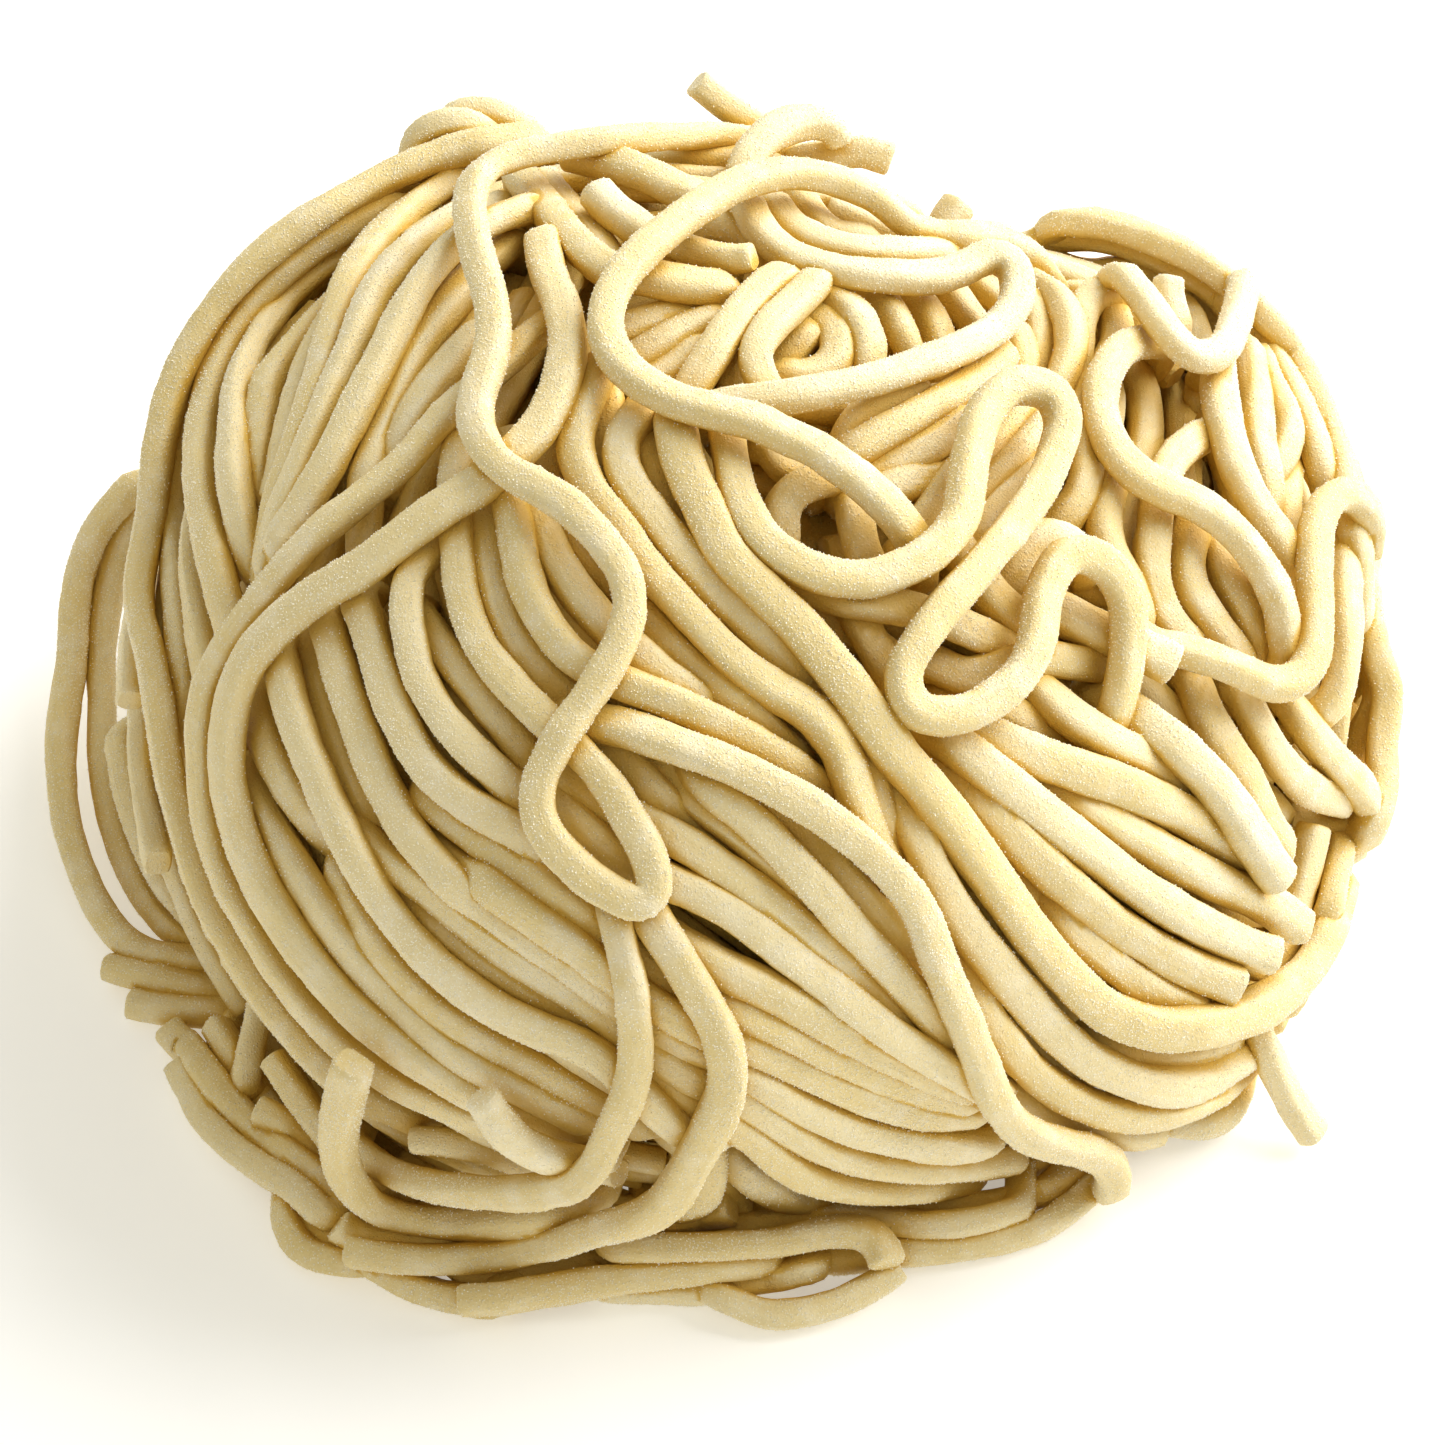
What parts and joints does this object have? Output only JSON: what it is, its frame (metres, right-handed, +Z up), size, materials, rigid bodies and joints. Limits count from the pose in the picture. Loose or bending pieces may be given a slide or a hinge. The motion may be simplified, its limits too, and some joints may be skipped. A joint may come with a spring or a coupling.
{
  "type": "fresh pasta nest",
  "caption": "Heaped nest of fresh round pasta strands dusted with flour, folded over itself, with loose coils and stray ends.",
  "frame": {"origin": "on the table, under the middle of the nest's outline", "axes": "+Z up, +X to the nest's right, -Y towards the side that the camera sees"},
  "size_m": [0.1032, 0.0989, 0.0594],
  "materials": {
    "pasta_dough": "matte raw dough, cream to pale straw, dusted with flour",
    "flour": "loose white flour and semolina grains"
  },
  "bodies": {
    "root": {"pasta_nest": "pasta_dough"}
  },
  "joints": []
}
